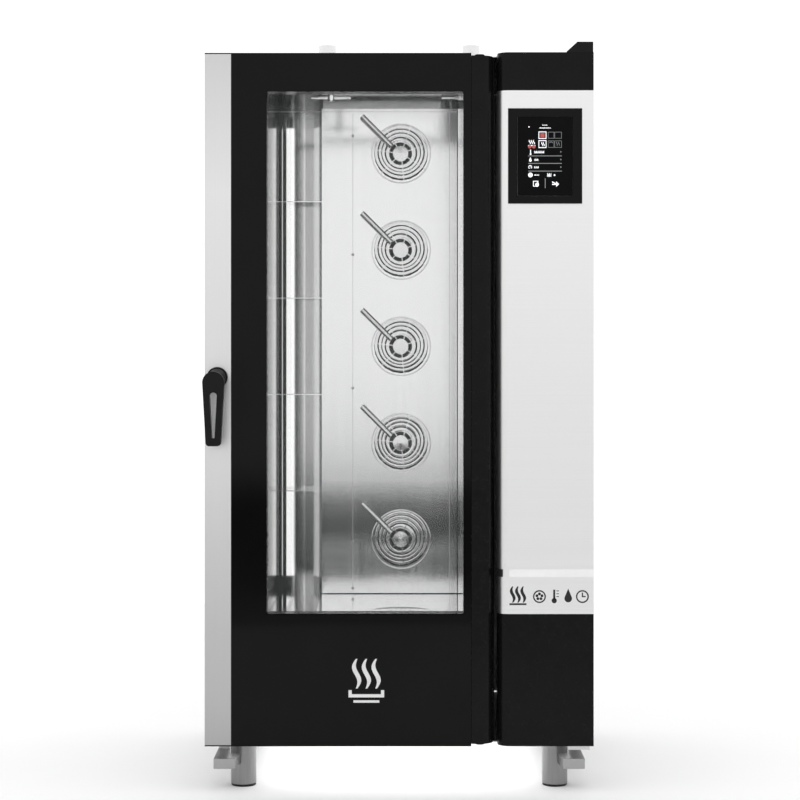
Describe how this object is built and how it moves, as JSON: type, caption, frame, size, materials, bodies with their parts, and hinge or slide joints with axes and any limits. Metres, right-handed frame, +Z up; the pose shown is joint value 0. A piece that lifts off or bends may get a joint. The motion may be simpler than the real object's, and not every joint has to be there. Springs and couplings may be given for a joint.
{
  "type": "combi steamer oven",
  "caption": "Tall free-standing combi steamer oven: glazed full-height door with a lever handle, fan wall, heating rings, steam tubes and a control column.",
  "frame": {"origin": "centre of the oven's bounding box, on the floor under its feet", "axes": "+Z up, -Y is the front with the door, +X to the right of someone facing the door"},
  "size_m": [0.96, 0.93, 1.92],
  "materials": {
    "sheet_steel": "satin stainless sheet",
    "brushed_steel": "fine brushed stainless",
    "cavity_steel": "bright cavity stainless, almost a mirror",
    "polished_steel": "electropolished stainless",
    "fan_steel": "satin pressed stainless",
    "motor_paint": "dark grey enamel",
    "heater_sheath": "oxidised heater sheath",
    "black_enamel": "smooth black satin",
    "black_glass": "printed safety glass, clear in the window",
    "clear_glass": "clear coated safety glass",
    "black_plastic": "fine matt moulded plastic",
    "display_glass": "glossy touch panel",
    "gasket_rubber": "matt silicone",
    "foot_rubber": "matt black",
    "circuit_board": "green solder mask"
  },
  "bodies": {
    "cabinet": {"base_frame": "sheet_steel", "left_side_panel": "sheet_steel", "right_side_panel": "sheet_steel", "rear_panel": "sheet_steel", "top_panel": "sheet_steel", "water_manifold": "sheet_steel", "drain_pipe": "sheet_steel", "upper_hinge": "sheet_steel", "lower_hinge": "sheet_steel", "lock_strike": "sheet_steel", "left_base_rail": "brushed_steel", "right_base_rail": "brushed_steel", "control_fascia": "brushed_steel", "left_chimney": "brushed_steel", "right_chimney": "brushed_steel", "cavity_liner": "cavity_steel", "air_baffle": "cavity_steel", "floor_drain_cover": "polished_steel", "temperature_probe": "polished_steel", "fan_guard_1": "polished_steel", "fan_guard_2": "polished_steel", "fan_guard_3": "polished_steel", "fan_guard_4": "polished_steel", "fan_guard_5": "polished_steel", "injection_tube_1": "polished_steel", "injection_tube_2": "polished_steel", "injection_tube_3": "polished_steel", "injection_tube_4": "polished_steel", "injection_tube_5": "polished_steel", "fan_motor_1": "motor_paint", "fan_motor_2": "motor_paint", "fan_motor_3": "motor_paint", "fan_motor_4": "motor_paint", "fan_motor_5": "motor_paint", "heating_element_bank": "heater_sheath", "column_front": "black_enamel", "display_bezel": "black_plastic", "vent_cowl": "black_plastic", "display_screen": "display_glass", "door_gasket": "gasket_rubber", "control_board": "circuit_board"},
    "door": {"door_frame": "black_enamel", "door_outer_glass": "black_glass", "door_inner_glass": "clear_glass", "door_edge_strip": "brushed_steel", "door_hinge_post": "black_enamel", "door_drip_tray": "sheet_steel"},
    "handle": {"door_handle": "black_plastic"},
    "lock": {"lock_rod": "sheet_steel"},
    "fan_1": {"fan_impeller_1": "fan_steel"},
    "fan_2": {"fan_impeller_2": "fan_steel"},
    "fan_3": {"fan_impeller_3": "fan_steel"},
    "fan_4": {"fan_impeller_4": "fan_steel"},
    "fan_5": {"fan_impeller_5": "fan_steel"},
    "spray_arm": {"wash_arm": "polished_steel"},
    "flap": {"exhaust_flap": "sheet_steel"},
    "front_left_screw_foot": {"front_left_foot": "foot_rubber"},
    "front_right_screw_foot": {"front_right_foot": "foot_rubber"},
    "rear_left_screw_foot": {"rear_left_foot": "foot_rubber"},
    "rear_right_screw_foot": {"rear_right_foot": "foot_rubber"}
  },
  "joints": [
    {"name": "door_swing", "type": "hinge", "parent": "cabinet", "child": "door", "pos_m": [0.2, -0.3525, 0.97], "axis": [0, 0, 1], "range_deg": [0, 110]},
    {"name": "handle_turn", "type": "hinge", "parent": "door", "child": "handle", "pos_m": [-0.4485, -0.385, 1.027], "axis": [0, -1, 0], "range_deg": [0, 90]},
    {"name": "lock_slide", "type": "slide", "parent": "door", "child": "lock", "axis": [0, 0, -1], "range_m": [0, 0.012]},
    {"name": "fan_1_spin", "type": "hinge", "parent": "cabinet", "child": "fan_1", "pos_m": [0.005, 0.29, 1.641], "axis": [0, 1, 0], "continuous": true},
    {"name": "fan_2_spin", "type": "hinge", "parent": "cabinet", "child": "fan_2", "pos_m": [0.005, 0.29, 1.3734], "axis": [0, 1, 0], "continuous": true},
    {"name": "fan_3_spin", "type": "hinge", "parent": "cabinet", "child": "fan_3", "pos_m": [0.005, 0.29, 1.1058], "axis": [0, 1, 0], "continuous": true},
    {"name": "fan_4_spin", "type": "hinge", "parent": "cabinet", "child": "fan_4", "pos_m": [0.005, 0.29, 0.8382], "axis": [0, 1, 0], "continuous": true},
    {"name": "fan_5_spin", "type": "hinge", "parent": "cabinet", "child": "fan_5", "pos_m": [0.005, 0.29, 0.5706], "axis": [0, 1, 0], "continuous": true},
    {"name": "spray_arm_spin", "type": "hinge", "parent": "cabinet", "child": "spray_arm", "pos_m": [-0.177, -0.118, 1.75], "axis": [0, 0, 1], "continuous": true},
    {"name": "flap_turn", "type": "hinge", "parent": "cabinet", "child": "flap", "pos_m": [-0.195, 0.115, 1.808], "axis": [1, 0, 0], "range_deg": [0, 90]},
    {"name": "front_left_foot_screw", "type": "slide", "parent": "cabinet", "child": "front_left_screw_foot", "axis": [0, 0, -1], "range_m": [0, 0.03]},
    {"name": "front_right_foot_screw", "type": "slide", "parent": "cabinet", "child": "front_right_screw_foot", "axis": [0, 0, -1], "range_m": [0, 0.03]},
    {"name": "rear_left_foot_screw", "type": "slide", "parent": "cabinet", "child": "rear_left_screw_foot", "axis": [0, 0, -1], "range_m": [0, 0.03]},
    {"name": "rear_right_foot_screw", "type": "slide", "parent": "cabinet", "child": "rear_right_screw_foot", "axis": [0, 0, -1], "range_m": [0, 0.03]}
  ],
  "couplings": [
    {"joint": "lock_slide", "follows": "handle_turn", "m_per_rad": 0.0076394}
  ]
}
